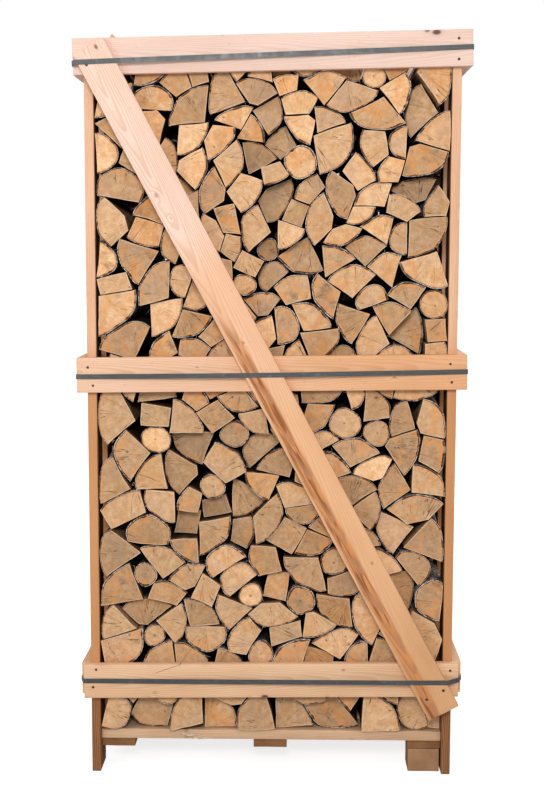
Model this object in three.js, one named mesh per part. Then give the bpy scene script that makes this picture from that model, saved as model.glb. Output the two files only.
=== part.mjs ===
// A tall open crate of split birch firewood: rough-sawn board crate, two rows of logs, three steel straps.
// Millimetres, +Z up. The origin is on the ground, at the centre of the crate's footprint.
// The front faces -Y and the logs lie along Y, with their sawn ends to the front and the back.

import * as THREE from "three";

// ---- driving dimensions -------------------------------------------------------------------------

const gap = 0.3; // clearance between pieces that touch

const crate = {
  halfWidth: 500, // to the outer faces of the posts
  halfDepth: 250, // to the front faces of the posts
};

const post = { thickness: 25, depth: 100, height: 1985 };

// A rail's bottom edge stands at `left` and `right` over the ground, at the crate's two sides.
const rail = { thickness: 25, width: 95, halfLength: 525 };
const railLevels = {
  top: { left: 1909, right: 1933 },
  middle: { left: 1069, right: 1082 },
  bottom: { left: 219, right: 232 },
};
// The bottom rails are cut shorter, so the side rails show past their ends.
const bottomRailHalfLength = 516;
const leftSideRailWidth = 90;

// One upright board in the middle of each side, inside the side rails.
const sideSlat = { thickness: 25, width: 100, top: 1985 };

const brace = { width: 92, thickness: 25 };
const frontBraceEnds = { topX: -481, topZ: 1982, bottomX: 475, bottomZ: 193 };
const backBraceEnds = { topX: 481, topZ: 1990, bottomX: -475, bottomZ: 188 };

const block = { width: 88, centreWidth: 68, depth: 90, height: 66 };
const stringer = { width: 94, thickness: 22, endInset: 20 };
const deckBoard = { width: 100, thickness: 28, frontInset: 20 };

const strap = { width: 13, thickness: 1 };
// Height of each strap's middle at the crate's two sides.
const strapLevels = {
  top: { left: 1938, right: 1982 },
  middle: { left: 1113, right: 1131 },
  bottom: { left: 269, right: 281 },
};
const seal = { length: 32, height: 17, thickness: 2.2 };

const stack = {
  levelTop: 1970,
  endInset: 1, // the longest logs stop this far behind the posts' faces
  rowGap: 16, // between the ends of the front and the back row
};
// Each row's uneven top, as shares of its half width and heights over the level top.
// In the front row one log stands up over the rest near the left end.
const frontCrown = [[-1, 0], [-0.96, 38], [-0.86, 58], [-0.74, 10], [0, 16], [0.6, 12], [1, 0]];
const backCrown = [[-1, 0], [-0.6, 12], [0.2, 18], [1, 4]];

// ---- sizes worked out from them -----------------------------------------------------------------

const stringerBottom = block.height + gap;
const deckBottom = stringerBottom + stringer.thickness + gap;
const deckTop = deckBottom + deckBoard.thickness;
const postInnerX = crate.halfWidth - post.thickness;
const railFaceY = crate.halfDepth + gap + rail.thickness; // outer face of the front and back rails
const braceFaceY = railFaceY + gap + brace.thickness;
const sideRailFaceX = crate.halfWidth + gap + rail.thickness;
const sideRailHalfLength = crate.halfDepth;

// ---- materials ----------------------------------------------------------------------------------

const railPine = new THREE.MeshStandardMaterial({ color: 0xd9ae84, roughness: 0.8, metalness: 0 });
const bracePine = new THREE.MeshStandardMaterial({ color: 0xdcb086, roughness: 0.78, metalness: 0 });
const weatheredPine = new THREE.MeshStandardMaterial({ color: 0xa87f58, roughness: 0.85, metalness: 0 });
const birch = new THREE.MeshStandardMaterial({ color: 0xc69a68, roughness: 0.85, metalness: 0 });
const strapSteel = new THREE.MeshStandardMaterial({ color: 0x454c54, roughness: 0.4, metalness: 0.8 });

// ---- building blocks ----------------------------------------------------------------------------

const part = new THREE.Group();

function addPiece(name, geometry, material) {
  const mesh = new THREE.Mesh(geometry, material);
  mesh.name = name;
  part.add(mesh);
  return mesh;
}

function addBox(name, [sizeX, sizeY, sizeZ], [x, y, z], material) {
  const mesh = addPiece(name, new THREE.BoxGeometry(sizeX, sizeY, sizeZ), material);
  mesh.position.set(x, y, z);
  return mesh;
}

// +1 on the right or at the back, -1 on the left or at the front
const sides = [
  { side: "left", signX: -1 },
  { side: "right", signX: 1 },
];
const ends = [
  { end: "front", signY: -1 },
  { end: "back", signY: 1 },
];

// The corners of a convex outline moved outwards by a distance; the corners run counterclockwise.
function offsetOutline(corners, distance) {
  const count = corners.length;
  const outwards = corners.map((corner, i) => {
    const along = corners[(i + 1) % count].clone().sub(corner).normalize();
    return new THREE.Vector2(along.y, -along.x);
  });
  return corners.map((corner, i) => {
    const before = outwards[(i + count - 1) % count];
    const after = outwards[i];
    const bisector = before.clone().add(after);
    return corner.clone().addScaledVector(bisector, distance / (1 + before.dot(after)));
  });
}

// ---- crate --------------------------------------------------------------------------------------

function addPosts() {
  const x = crate.halfWidth - post.thickness / 2;
  const y = crate.halfDepth - post.depth / 2;
  for (const { side, signX } of sides) {
    for (const { end, signY } of ends) {
      const size = [post.thickness, post.depth, post.height];
      addBox(`post_${end}_${side}`, size, [signX * x, signY * y, post.height / 2], railPine);
    }
  }
}

function addRails() {
  for (const [level, { left, right }] of Object.entries(railLevels)) {
    const halfLength = level === "bottom" ? bottomRailHalfLength : rail.halfLength;
    const tilt = Math.atan2(right - left, 2 * rail.halfLength);
    const middleZ = (left + right) / 2 + rail.width / 2;
    for (const { end, signY } of ends) {
      const size = [2 * halfLength, rail.thickness, rail.width];
      const y = signY * (railFaceY - rail.thickness / 2);
      addBox(`${end}_rail_${level}`, size, [0, y, middleZ], railPine).rotation.y = -tilt;
    }
    for (const { side, signX } of sides) {
      const width = level === "bottom" ? leftSideRailWidth : rail.width;
      const bottomZ = signX < 0 ? left : right;
      const size = [rail.thickness, 2 * sideRailHalfLength, width];
      const x = signX * (sideRailFaceX - rail.thickness / 2);
      addBox(`${side}_rail_${level}`, size, [x, 0, bottomZ + rail.width - width / 2], railPine);
    }
  }
}

// The side slats cover the ends of the deck boards and stand as high as the posts.
function addSideSlats() {
  const height = sideSlat.top - deckBottom;
  const x = crate.halfWidth - sideSlat.thickness / 2;
  for (const { side, signX } of sides) {
    const size = [sideSlat.thickness, sideSlat.width, height];
    addBox(`side_slat_${side}`, size, [signX * x, 0, deckBottom + height / 2], railPine);
  }
}

function addBrace(name, ends, signY) {
  const acrossX = ends.bottomX - ends.topX;
  const downZ = ends.topZ - ends.bottomZ;
  const size = [brace.width, brace.thickness, Math.hypot(acrossX, downZ)];
  const y = signY * (braceFaceY - brace.thickness / 2);
  const centre = [(ends.topX + ends.bottomX) / 2, y, (ends.topZ + ends.bottomZ) / 2];
  addBox(name, size, centre, bracePine).rotation.y = -Math.atan2(acrossX, downZ);
}

// ---- base ---------------------------------------------------------------------------------------

const stringerRows = {
  left: -(postInnerX - gap - stringer.width / 2),
  middle: -2,
  right: postInnerX - gap - stringer.width / 2,
};

// Only the right stringer has a block at its front end: the left front corner stands on its post.
// The blocks in the middle of the depth are narrower, and flush with the outer ones on the outside.
function addBase() {
  const stringerLength = 2 * (crate.halfDepth - stringer.endInset);
  const endBlockY = crate.halfDepth - stringer.endInset - block.depth / 2;
  const blockPlaces = { front: -endBlockY, centre: 0, back: endBlockY };
  for (const [row, x] of Object.entries(stringerRows)) {
    const size = [stringer.width, stringerLength, stringer.thickness];
    addBox(`stringer_${row}`, size, [x, 0, stringerBottom + stringer.thickness / 2], weatheredPine);
    for (const [place, y] of Object.entries(blockPlaces)) {
      if (place === "front" && row !== "right") continue;
      const width = place === "centre" ? block.centreWidth : block.width;
      const outwards = row === "middle" ? 0 : Math.sign(x) * (block.width - width) / 2;
      const blockSize = [width, block.depth, block.height];
      addBox(`block_${row}_${place}`, blockSize, [x + outwards, y, block.height / 2], weatheredPine);
    }
  }
}

function addDeck() {
  const outerY = crate.halfDepth - deckBoard.frontInset - deckBoard.width / 2;
  const innerY = outerY / 3;
  const boards = [
    ["deck_board_front", -outerY],
    ["deck_board_middle_front", -innerY],
    ["deck_board_middle_back", innerY],
    ["deck_board_back", outerY],
  ];
  for (const [name, y] of boards) {
    const size = [2 * (postInnerX - gap), deckBoard.width, deckBoard.thickness];
    addBox(name, size, [0, y, deckBottom + deckBoard.thickness / 2], railPine);
  }
}

// ---- logs ---------------------------------------------------------------------------------------

// Each row of logs is one closed body, from the deck to the crown of the stack.
function addLogRow(name, crown, signY) {
  const halfWidth = postInnerX - gap;
  const outline = new THREE.Shape();
  outline.moveTo(halfWidth, deckTop + gap);
  outline.lineTo(-halfWidth, deckTop + gap);
  for (const [share, rise] of crown) outline.lineTo(share * halfWidth, stack.levelTop + rise);
  outline.closePath();
  const outerY = crate.halfDepth - stack.endInset;
  const depth = outerY - stack.rowGap / 2;
  const geometry = new THREE.ExtrudeGeometry(outline, { depth, bevelEnabled: false });
  geometry.rotateX(Math.PI / 2); // the outline stands up and its depth runs to -Y
  addPiece(name, geometry, birch).position.y = signY > 0 ? outerY : depth - outerY;
}

// ---- straps -------------------------------------------------------------------------------------

// The x of the two edges of a brace, at their widest behind a strap whose middle line is at z = heightAt(x).
function braceEdgesBehind(ends, heightAt) {
  const acrossX = ends.bottomX - ends.topX;
  const downZ = ends.topZ - ends.bottomZ;
  const slope = acrossX / downZ;
  const middleAt = (z) => ends.topX + slope * (ends.topZ - z);
  let middle = ends.topX;
  for (let step = 0; step < 4; step += 1) middle = middleAt(heightAt(middle));
  const half = (brace.width * Math.hypot(1, slope)) / 2 + Math.abs(slope) * strap.width * 0.7;
  // the square-cut ends bring the edges in again
  const endReach = brace.width / 2 / Math.hypot(1, slope);
  const lowest = Math.min(ends.topX, ends.bottomX) - endReach;
  const highest = Math.max(ends.topX, ends.bottomX) + endReach;
  return [Math.max(middle - half, lowest), Math.min(middle + half, highest)];
}

// A taut strap in plan, counterclockwise from the front left: it touches only the corners that stand out.
function strapCorners(level, middleZ) {
  const railEndX = level === "bottom" ? bottomRailHalfLength : rail.halfLength;
  const sideEndY = level === "bottom" ? sideRailHalfLength : railFaceY;
  const heightAt = (x) => {
    const { left, right } = strapLevels[level];
    return middleZ + (x * (right - left)) / (2 * sideRailFaceX);
  };
  const [frontLeft, frontRight] = braceEdgesBehind(frontBraceEnds, heightAt);
  const [backLeft, backRight] = braceEdgesBehind(backBraceEnds, heightAt);
  const corners = [
    [-sideRailFaceX, -sideEndY],
    [-railEndX, -railFaceY],
    [frontLeft, -braceFaceY],
    [frontRight, -braceFaceY],
    [railEndX, -railFaceY],
    [sideRailFaceX, -sideEndY],
    [sideRailFaceX, sideEndY],
    [railEndX, railFaceY],
    [backRight, braceFaceY],
    [backLeft, braceFaceY],
    [-railEndX, railFaceY],
    [-sideRailFaceX, sideEndY],
  ];
  return corners.map(([x, y]) => new THREE.Vector2(x, y));
}

function addStrap(level) {
  const { left, right } = strapLevels[level];
  const tilt = Math.atan2(right - left, 2 * sideRailFaceX);
  const middleZ = (left + right) / 2;
  const corners = convexCorners(strapCorners(level, middleZ));
  // the loop is tilted, so it is a little longer along X
  for (const corner of corners) corner.x /= Math.cos(tilt);

  const loop = new THREE.Shape(offsetOutline(corners, gap + strap.thickness));
  loop.holes.push(new THREE.Path(offsetOutline(corners, gap).reverse()));
  const geometry = new THREE.ExtrudeGeometry(loop, { depth: strap.width, bevelEnabled: false });
  geometry.translate(0, 0, -strap.width / 2);
  const mesh = addPiece(`strap_${level}`, geometry, strapSteel);
  mesh.position.z = middleZ;
  mesh.rotation.y = -tilt;

  // the crimped seal lies on the middle of the strap's longest run over the back
  const outer = offsetOutline(corners, 2 * gap + strap.thickness + seal.thickness / 2);
  const runs = outer.map((corner, i) => [corner, outer[(i + 1) % outer.length]]);
  const backRuns = runs.filter(([from, to]) => from.y > crate.halfDepth && to.y > crate.halfDepth);
  backRuns.sort((a, b) => b[0].distanceTo(b[1]) - a[0].distanceTo(a[1]));
  const [from, to] = backRuns[0];
  const place = from.clone().lerp(to, 0.5);
  const crimp = new THREE.BoxGeometry(seal.length, seal.thickness, seal.height);
  crimp.rotateZ(Math.atan2(to.y - from.y, to.x - from.x));
  crimp.translate(place.x, place.y, 0);
  const sealMesh = addPiece(`strap_seal_${level}`, crimp, strapSteel);
  sealMesh.position.z = middleZ;
  sealMesh.rotation.y = -tilt;
}

// The corners of an outline that a taut loop touches, counterclockwise.
function convexCorners(points) {
  const sorted = [...points].sort((a, b) => a.x - b.x || a.y - b.y);
  const half = (list) => {
    const chain = [];
    for (const p of list) {
      while (chain.length > 1) {
        const [a, b] = chain.slice(-2);
        if ((b.x - a.x) * (p.y - a.y) - (b.y - a.y) * (p.x - a.x) > 1e-6) break;
        chain.pop();
      }
      chain.push(p);
    }
    return chain.slice(0, -1);
  };
  return [...half(sorted), ...half(sorted.reverse())];
}

// ---- assembly -----------------------------------------------------------------------------------

addPosts();
addRails();
addSideSlats();
addBrace("brace_front", frontBraceEnds, -1);
addBrace("brace_back", backBraceEnds, 1);
addBase();
addDeck();
addLogRow("log_row_front", frontCrown, -1);
addLogRow("log_row_back", backCrown, 1);
for (const level of Object.keys(strapLevels)) addStrap(level);

export default part;
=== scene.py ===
import math

import bpy
import numpy as np
from mathutils import Matrix, Vector, noise


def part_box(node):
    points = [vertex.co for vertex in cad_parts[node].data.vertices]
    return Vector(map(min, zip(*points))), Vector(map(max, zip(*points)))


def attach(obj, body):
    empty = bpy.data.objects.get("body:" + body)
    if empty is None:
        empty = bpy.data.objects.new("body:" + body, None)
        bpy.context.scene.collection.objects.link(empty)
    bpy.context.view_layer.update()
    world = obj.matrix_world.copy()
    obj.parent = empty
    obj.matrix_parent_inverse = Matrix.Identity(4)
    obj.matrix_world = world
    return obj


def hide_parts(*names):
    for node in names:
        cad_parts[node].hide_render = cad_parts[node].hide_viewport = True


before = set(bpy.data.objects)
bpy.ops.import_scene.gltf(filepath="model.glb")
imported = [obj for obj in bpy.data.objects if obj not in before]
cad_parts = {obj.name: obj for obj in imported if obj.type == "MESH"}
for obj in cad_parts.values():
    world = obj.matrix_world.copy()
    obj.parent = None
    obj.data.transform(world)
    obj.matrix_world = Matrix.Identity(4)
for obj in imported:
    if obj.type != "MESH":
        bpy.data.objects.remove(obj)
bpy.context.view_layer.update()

# Everything is in metres, in the frame of the crate: +Z up, the front faces -Y.
MM = 0.001
TURN = 2 * math.pi
WHITE = (1, 1, 1, 1)


def rgb(red, green, blue):
    """A display colour, 0 to 255, as the linear colour that a shader takes."""
    return tuple(
        v / 12.92 if v <= 0.04045 else ((v + 0.055) / 1.055) ** 2.4
        for v in (red / 255, green / 255, blue / 255)
    )


# ---- materials ----------------------------------------------------------------------------------


class Shader:
    """A Principled material, with a short method for each kind of node that the looks use."""

    def __init__(self, name, roughness, specular):
        self.material = bpy.data.materials.new(name)
        self.material.use_nodes = True
        self.tree = self.material.node_tree
        self.surface = self.tree.nodes["Principled BSDF"].inputs
        self.surface["Roughness"].default_value = roughness
        self.surface["Specular IOR Level"].default_value = specular

    def put(self, socket, value):
        if isinstance(value, bpy.types.NodeSocket):
            self.tree.links.new(value, socket)
        else:
            socket.default_value = value

    def node(self, kind, inputs=(), **settings):
        """A new node. inputs holds the values or sockets that go in, in order or by name."""
        node = self.tree.nodes.new("ShaderNode" + kind)
        for name, value in settings.items():
            setattr(node, name, value)
        for key, value in inputs.items() if isinstance(inputs, dict) else enumerate(inputs):
            self.put(node.inputs[key], value)
        return node

    def seen(self):
        """1 where the surface is seen directly, and 0 where it only lights other surfaces."""
        return self.node("LightPath").outputs["Is Camera Ray"]

    def attribute(self, name, output="Vector"):
        return self.node("Attribute", attribute_name=name).outputs[output]

    def split(self, vector):
        return self.node("SeparateXYZ", [vector]).outputs

    def join(self, x, y, z):
        return self.node("CombineXYZ", [x, y, z]).outputs[0]

    def math(self, operation, a, b=0.0, c=0.0, clamp=False):
        return self.node("Math", [a, b, c], operation=operation, use_clamp=clamp).outputs[0]

    def plus(self, a, b):
        return self.math("ADD", a, b)

    def times(self, a, b, clamp=False):
        return self.math("MULTIPLY", a, b, clamp=clamp)

    def scaled(self, a, by, offset):
        return self.math("MULTIPLY_ADD", a, by, offset)

    def vector(self, operation, a, b=(0, 0, 0)):
        node = self.node("VectorMath", [a, b], operation=operation)
        return node.outputs["Value" if operation == "LENGTH" else "Vector"]

    def noise(self, vector, scale, detail, rough=0.55, distortion=0.0):
        """Noise of one scale, or of one scale along each axis."""
        if isinstance(scale, tuple):
            vector, scale = self.vector("MULTIPLY", vector, scale), 1.0
        names = ("Vector", "Scale", "Detail", "Roughness", "Distortion")
        inputs = dict(zip(names, (vector, scale, detail, rough, distortion)))
        return self.node("TexNoise", inputs).outputs["Fac"]

    def range(self, value, low, high, to_low=0.0, to_high=1.0, kind="SMOOTHSTEP"):
        names = ("Value", "From Min", "From Max", "To Min", "To Max")
        inputs = dict(zip(names, (value, low, high, to_low, to_high)))
        return self.node("MapRange", inputs, interpolation_type=kind).outputs[0]

    def fall(self, value, low, high):
        return self.range(value, low, high, 1.0, 0.0)

    def rings(self, radius, per_metre, pale, full, last):
        """Growth rings: each darkens slowly from pale to full, and ends sharply after last."""
        share = self.math("FRACT", self.times(radius, per_metre))
        return self.times(self.range(share, pale, full), self.fall(share, last, 1.0))

    def ramp(self, value, *stops):
        node = self.node("ValToRGB", [value])
        elements = node.color_ramp.elements
        while len(elements) < len(stops):
            elements.new(0.5)
        for element, (place, paint) in zip(elements, stops):
            element.position, element.color = place, (*rgb(*paint), 1)
        return node.outputs[0]

    def mix(self, factor, a, b, blend="MIX"):
        a, b = ((*color, 1) if isinstance(color, tuple) else color for color in (a, b))
        inputs = {"Factor": factor, 6: a, 7: b}  # 6 and 7 are its colour sockets, and 2 the result
        node = self.node("Mix", inputs, data_type="RGBA", blend_type=blend, clamp_result=False)
        return node.outputs[2]

    def paint(self, color, *coats):
        """Lays coats over a colour: each is a display colour, and the range that it grows thicker in."""
        for paint, *where in coats:
            color = self.mix(self.range(*where), color, rgb(*paint))
        return color

    def finish(self, color, roughness=None, height=None, bump=0.0, deep=0.0):
        """Wires the surface. bump is the relief's strength, and deep the metres that height spans."""
        self.put(self.surface["Base Color"], color)
        if roughness is not None:
            self.put(self.surface["Roughness"], roughness)
        if height is not None:
            relief = self.node("Bump", {"Strength": bump, "Distance": deep, "Height": height})
            self.put(self.surface["Normal"], relief.outputs[0])
        return self.material


def pine_material(name, pale, tan, late, knots=(), fades=(), streak=None, crack=None,
                  heart=0.0, cut=(0.06, 0.03), grain=0.4, dusty_inside=None):
    """Sawn pine. The board's own coordinates come from its mesh: x along it, y across its width and
    z through its thickness, in metres from its middle. Each knot is (x, y, radius, darkness), each
    fade (x where it starts, x where it ends, pale, tan), and the crack runs from one (x, y) to
    another. streak is (y, half its width, dark, darkest, x where it starts and where it is full).
    heart and cut say where the trunk's middle runs: its y, its depth under the middle of the board,
    and how much nearer it comes with every metre of x. The last argument gives the x that the faces
    with painted shade lie inside of, how far they go in y, and their foot."""
    s = Shader(name, 0.75, 0.25)
    place = s.attribute("board_place")
    seed = s.attribute("board_seed", "Fac")
    own = s.vector("ADD", place, s.join(seed, s.times(seed, 1.7), s.times(seed, 0.6)))
    x, y, z = s.split(place)

    # the trunk's middle runs askew under the board, so the rings open into long arches
    wander = s.noise(own, (1.3, 5.0, 5.0), 2.0)
    waver = s.noise(own, (6.0, 22.0, 22.0), 2.0)
    across = s.plus(y, s.scaled(wander, 0.06, -0.03 - heart))
    deep = s.plus(s.plus(z, s.scaled(x, cut[1], cut[0])), s.scaled(waver, 0.006, -0.003))
    radius = s.vector("LENGTH", s.join(0.0, across, deep))
    dark_knots = halos = 0.0
    for knot_x, knot_y, size, dark in knots:
        away = s.vector("SUBTRACT", place, (knot_x, knot_y, 0.0))
        distance = s.vector("LENGTH", s.vector("MULTIPLY", away, (0.6, 1.0, 0.0)))
        radius = s.plus(radius, s.range(distance, size * 0.6, size * 3.0, size * 0.6, 0.0))
        ragged = s.plus(distance, s.scaled(waver, size * 0.7, -size * 0.35))
        dark_knots = s.plus(dark_knots, s.range(ragged, size * 0.4, size * 0.95, dark, 0.0))
        halos = s.plus(halos, s.range(ragged, size * 0.7, size * 1.8, 0.6 * dark, 0.0))

    line = s.rings(radius, 300.0, 0.25, 0.92, 0.94)
    fibre = s.noise(own, (9.0, 420.0, 420.0), 3.0)
    cloudy = s.range(s.noise(own, (3.0, 14.0, 14.0), 3.0), 0.3, 0.7)
    color = s.mix(cloudy, rgb(*pale), rgb(*tan))
    for low, high, far_pale, far_tan in fades:  # the colour turns along the board
        color = s.mix(s.range(x, low, high), color, s.mix(cloudy, rgb(*far_pale), rgb(*far_tan)))
    if streak:  # a darker band of heartwood with strong rings, along one edge
        centre, half, dark, darkest, start = streak
        edge = s.math("ABSOLUTE", s.math("SUBTRACT", s.scaled(wander, 0.03, y), centre + 0.015))
        band = s.times(s.fall(edge, half * 0.55, half), s.range(x, *start))
        color = s.mix(s.times(band, 0.85), color, rgb(*dark))
        flame = s.range(s.noise(own, (7.0, 95.0, 60.0), 2.0, 0.5, 0.6), 0.47, 0.6)
        flame = s.math("MAXIMUM", flame, s.times(line, 0.8))
        color = s.mix(s.times(s.times(band, flame), 0.9), color, rgb(*darkest))
    color = s.mix(s.times(line, grain), color, rgb(*late))
    color = s.paint(color, (late, fibre, 0.35, 0.75, 0.0, 0.2))
    color = s.mix(s.times(halos, 0.3, clamp=True), color, rgb(196, 138, 98))
    color = s.mix(s.times(dark_knots, 0.9, clamp=True), color, rgb(84, 54, 40))
    grime = s.noise(own, 55.0, 4.0, 0.7)
    color = s.paint(color, ((128, 104, 86), grime, 0.64, 0.76, 0.0, 0.4))
    if crack:  # a thin split, from one point to another
        (from_x, from_y), (to_x, to_y) = crack
        rise = (to_y - from_y) / (to_x - from_x)
        bent = s.scaled(waver, 0.006, -0.003 + from_y - rise * from_x)
        off = s.math("ABSOLUTE", s.math("SUBTRACT", y, s.scaled(x, rise, bent)))
        open_at = s.times(s.range(x, from_x, from_x + 0.02), s.fall(x, to_x, to_x + 0.004))
        split = s.times(s.fall(off, 0.0002, 0.0011), open_at)
        color = s.mix(s.times(split, 0.85), color, rgb(74, 46, 30))
    if dusty_inside:  # painted shade on the faces towards the logs
        face_x, reach_y, foot = dusty_inside
        world_x, world_y, world_z = s.split(s.vector("ABSOLUTE", s.attribute("position")))
        inner_shade = s.fall(world_x, face_x + 0.0005, face_x + 0.002)
        inner_shade = s.times(inner_shade, s.fall(world_y, reach_y - 0.02, reach_y))
        inner_shade = s.times(inner_shade, s.range(world_z, foot, foot + 0.25))
        color = s.mix(inner_shade, color, (0.16, 0.13, 0.11), "MULTIPLY")
    saw = s.noise(own, (260.0, 12.0, 12.0), 2.0)
    height = s.scaled(saw, 0.35, s.plus(s.times(line, 0.35), s.times(fibre, 0.5)))
    height = s.math("SUBTRACT", height, s.times(dark_knots, 0.6, clamp=True))
    return s.finish(color, s.range(fibre, 0.2, 0.8, 0.62, 0.85), height, 0.35, 0.8 * MM)


# ---- boards -------------------------------------------------------------------------------------


def board_frame(name):
    """A board's middle, its half length, width and thickness, and the directions that they run in."""
    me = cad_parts[name].data
    co = np.unique(np.array([tuple(v.co) for v in me.vertices]).round(5), axis=0)
    assert len(co) == 8, name
    away = co - co[0]
    far = np.linalg.norm(away, axis=1)
    order = np.argsort(far)
    thick, wide = away[order[1]], away[order[2]]
    upright = [
        away[i]
        for i in order[3:]
        if abs(away[i] @ thick) < 1e-2 * far[i] * far[order[1]]
        and abs(away[i] @ wide) < 1e-2 * far[i] * far[order[2]]
    ]
    edges = (upright[0], wide, thick)
    edges = [edge * np.sign(edge[np.argmax(np.abs(edge))]) / 2 for edge in edges]
    half = [np.linalg.norm(edge) for edge in edges]
    return co.mean(0), half, np.array([edge / h for edge, h in zip(edges, half)])


def rounded_section(half_wide, half_thick, corner, step):
    """A rectangle with rounded corners, counterclockwise: its points and outward directions."""
    points, outward = [], []
    corners = ((1, 1), (-1, 1), (-1, -1), (1, -1))
    inner = np.array([half_wide - corner, half_thick - corner])
    middles = [inner * signs for signs in corners]
    for turn, middle in enumerate(middles):
        for share in (0, 0.5, 1):
            angle = (turn + share) * math.pi / 2
            way = np.array([math.cos(angle), math.sin(angle)])
            points.append(middle + corner * way)
            outward.append(way)
        start = points[-1]
        after = middles[(turn + 1) % 4] + corner * way
        count = int(np.linalg.norm(after - start) / step)
        for i in range(1, count):
            points.append(start + (after - start) * i / count)
            outward.append(way)
    return np.array(points), np.array(outward)


def quads(before, after, flip=False):
    """The faces between two rings of vertices."""
    corners = zip(before, after, [*after[1:], after[0]], [*before[1:], before[0]])
    return [(a, d, c, b) if flip else (a, b, c, d) for a, b, c, d in corners]


def fan(rim, hub):
    """The faces between a ring of vertices and the one in its middle."""
    return [(a, hub, b) for a, b in zip(rim, [*rim[1:], rim[0]])]


def tube(first, count, rings, flip=False):
    """The faces of a tube of rings, whose vertices follow each other from first on."""
    loops = [range(first + ring * count, first + (ring + 1) * count) for ring in range(rings)]
    return [face for ends in zip(loops, loops[1:]) for face in quads(*ends, flip)]


def make_mesh(name, verts, faces, materials, indices=None, sharp=None):
    me = bpy.data.meshes.new(name)
    me.from_pydata([tuple(v) for v in verts], [], faces)
    for material in materials:
        me.materials.append(material)
    if indices is not None:
        me.polygons.foreach_set("material_index", np.asarray(indices, np.int32))
    me.polygons.foreach_set("use_smooth", np.full(len(me.polygons), True))
    me.update()
    if sharp:
        me.set_sharp_from_angle(angle=math.radians(sharp))
    piece = bpy.data.objects.new(name, me)
    bpy.context.scene.collection.objects.link(piece)
    return piece


def write_attribute(piece, name, values, kind="FLOAT_VECTOR"):
    layer = piece.data.attributes.new(name, kind, "POINT")
    key = "vector" if kind == "FLOAT_VECTOR" else "value"
    layer.data.foreach_set(key, np.asarray(values, np.float32).ravel())


def left_handed(axes):
    return np.dot(np.cross(axes[0], axes[1]), axes[2]) < 0


def sawn_board(node, material, seed, slot, wear=1.0, end_wear=1.0):
    """A rough-sawn board in place of a node: worn arrises, nicked ends and an uneven sawn face."""
    centre, half, axes = board_frame(node)
    section, outward = rounded_section(half[1], half[2], 1.6 * MM, 8 * MM)
    inset = [d * MM for d in (0.0, 0.4, 1.8)]
    between = np.linspace(-half[0], half[0], max(6, int(2 * half[0] / (11 * MM))))[1:-1]
    along = [-half[0] + d for d in inset] + list(between) + [half[0] - d for d in inset[::-1]]
    count = len(section)
    local = []
    for x in along:
        end = half[0] - abs(x)
        squeeze = 1.6 * MM if end < 0.2 * MM else 0.5 * MM if end < 1 * MM else 0.0
        for (y, z), (oy, oz) in zip(section, outward):
            face = 0.5 + 0.5 * noise.noise(Vector((x * 9 + seed * 3.1, y * 26, z * 26 + seed)))
            fine = 0.5 + 0.5 * noise.noise(Vector((x * 90, y * 60, z * 60 + seed)))
            nick = noise.noise(Vector((x * 14, seed * 7.7 + 3 * np.sign(y), 2 * np.sign(z))))
            on_arris = abs(oy) > 0.05 and abs(oz) > 0.05
            arris = max(0.0, nick - 0.15) * 5.0 if on_arris else 0.0
            inward = (0.45 * face + 0.25 * fine + arris) * wear * MM + squeeze
            local.append((x, y - oy * inward, z - oz * inward))
    faces = tube(0, count, len(along))
    for end, first, way in ((0, 0, 1), (1, (len(along) - 1) * count, -1)):
        rim = range(first, first + count)
        for share in (0.8, 0.45):
            ring = range(len(local), len(local) + count)
            for x, y, z in local[first:first + count]:
                dent = 1 + noise.noise(Vector((y * 90, z * 90, seed + end)))
                local.append((x + way * 0.5 * MM * end_wear * dent, y * share, z * share))
            faces += [quad[::way] for quad in quads(rim, ring, flip=True)]
            rim = ring
        faces += [face[::-way] for face in fan(rim, len(local))]
        local.append((along[-end], 0.0, 0.0))
    local = np.array(local)
    if left_handed(axes):
        faces = [f[::-1] for f in faces]
    piece = make_mesh(node + "_sawn", centre + local @ axes, faces, [material], sharp=50)
    write_attribute(piece, "board_place", local)
    write_attribute(piece, "board_seed", np.full(len(local), seed), "FLOAT")
    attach(piece, "root")
    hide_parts(node)


# The boards are pale and pinkish near the top of the crate, and more orange lower down. The posts
# and the brace darken towards their lower ends, and the stringers and blocks of the base are darker
# still.
late_tan = (206, 146, 96)
pine_top = pine_material(
    "pine_top", (244, 215, 202), (236, 204, 188), (222, 178, 152),
    knots=[(0.43, 0.041, 0.010, 1.0), (0.405, 0.045, 0.006, 0.7), (-0.13, 0.047, 0.003, 0.5)],
)
pine_middle = pine_material(
    "pine_middle", (240, 188, 146), (232, 174, 128), late_tan,
    knots=[(-0.2, 0.02, 0.003, 0.5), (0.33, -0.012, 0.004, 0.6)],
    fades=[(0.3, -0.45, (246, 208, 182), (240, 198, 166))],
)
pine_bottom = pine_material(
    "pine_bottom", (240, 202, 166), (228, 186, 148), late_tan,
    knots=[(-0.017, -0.045, 0.009, 1.0), (-0.32, -0.032, 0.006, 0.25), (0.2, 0.03, 0.004, 0.5)],
    crack=((-0.33, 0.02), (-0.25, 0.046)),
)
pine_brace = pine_material(
    "pine_brace", (249, 219, 201), (245, 209, 188), (212, 158, 120),
    knots=[(0.59, -0.026, 0.006, 0.45), (1.0, 0.018, 0.006, 0.8), (0.52, -0.02, 0.004, 0.3),
           (0.14, -0.006, 0.004, 0.5), (-0.55, 0.02, 0.004, 0.5)],
    fades=[(0.5, 0.3, (246, 198, 162), (240, 188, 150)),
           (0.1, -0.2, (240, 188, 142), (232, 178, 130)),
           (-0.5, -0.9, (222, 170, 122), (210, 156, 108))],
    streak=(-0.023, 0.021, (212, 138, 74), (136, 76, 36), (0.3, 0.08)),
    heart=-0.014, cut=(0.07, -0.032), grain=0.42,
)
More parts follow.
